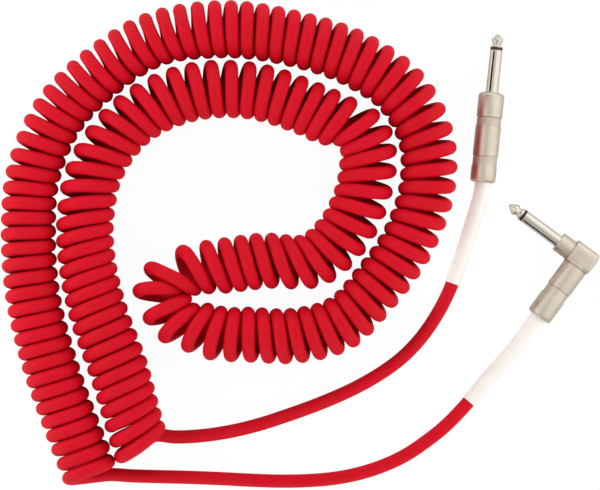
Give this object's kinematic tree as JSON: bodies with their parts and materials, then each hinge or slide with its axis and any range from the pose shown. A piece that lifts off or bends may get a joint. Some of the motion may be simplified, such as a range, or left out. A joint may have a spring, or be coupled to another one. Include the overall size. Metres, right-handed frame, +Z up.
{
  "type": "coiled instrument cable",
  "caption": "Red coiled instrument cable laid in a loop, with a straight jack plug and a right-angle jack plug, white strain reliefs and screw-on handles.",
  "frame": {"origin": "on the surface that the cable lies on, midway between the outermost points of the two plugs with their strain reliefs", "axes": "+Z up from the surface; +Y towards the straight plug's tip end; +X towards the right-angle plug's corner"},
  "size_m": [0.3051, 0.249, 0.0307],
  "materials": {
    "pvc_jacket": "smooth satin red PVC",
    "white_sleeve": "smooth, slightly glossy",
    "satin_nickel": "satin nickel plating",
    "bright_nickel": "polished nickel plating",
    "black_insulator": "turned",
    "dark_insulator": "smooth",
    "white_insulator": "smooth",
    "tinned_brass": "tinned",
    "spring_brass": "pressed",
    "wire_insulation": "smooth",
    "copper_strands": "twisted bare copper"
  },
  "bodies": {
    "cable": {"curly_cord": "pvc_jacket", "angle_lead": "pvc_jacket", "straight_lead": "pvc_jacket", "straight_tip": "bright_nickel", "straight_tip_ring": "black_insulator", "straight_rod_tube": "dark_insulator", "straight_shank": "bright_nickel", "straight_collar": "satin_nickel", "straight_washer": "white_insulator", "straight_lug": "tinned_brass", "straight_clamp": "spring_brass", "straight_boot": "white_sleeve", "straight_core_wire": "wire_insulation", "straight_shield_tail": "copper_strands", "angle_tip": "bright_nickel", "angle_tip_ring": "black_insulator", "angle_rod_tube": "dark_insulator", "angle_shank": "bright_nickel", "angle_elbow": "satin_nickel", "angle_bush": "white_insulator", "angle_lug": "tinned_brass", "angle_clamp": "spring_brass", "angle_boot": "white_sleeve", "angle_core_wire": "wire_insulation", "angle_shield_tail": "copper_strands"},
    "straight_liner": {"straight_liner": "dark_insulator"},
    "straight_handle": {"straight_handle": "satin_nickel"},
    "angle_liner": {"angle_liner": "dark_insulator"},
    "angle_handle": {"angle_handle": "satin_nickel"}
  },
  "joints": [
    {"name": "straight_handle_slide", "type": "slide", "parent": "cable", "child": "straight_liner", "axis": [-0.1045, -0.9945, 0], "range_m": [0, 0.005]},
    {"name": "straight_handle_turn", "type": "hinge", "parent": "straight_liner", "child": "straight_handle", "pos_m": [-0.01556, 0.0649, 0.0066], "axis": [-0.1045, -0.9945, 0], "range_deg": [0, 1800]},
    {"name": "angle_handle_slide", "type": "slide", "parent": "cable", "child": "angle_liner", "axis": [-0.592, -0.8059, 0], "range_m": [0, 0.005]},
    {"name": "angle_handle_turn", "type": "hinge", "parent": "angle_liner", "child": "angle_handle", "pos_m": [0.03032, -0.01947, 0.0068], "axis": [-0.592, -0.8059, 0], "range_deg": [0, 1800]}
  ],
  "couplings": [
    {"joint": "straight_handle_slide", "follows": "straight_handle_turn", "m_per_rad": 0.00015915},
    {"joint": "angle_handle_slide", "follows": "angle_handle_turn", "m_per_rad": 0.00015915}
  ]
}
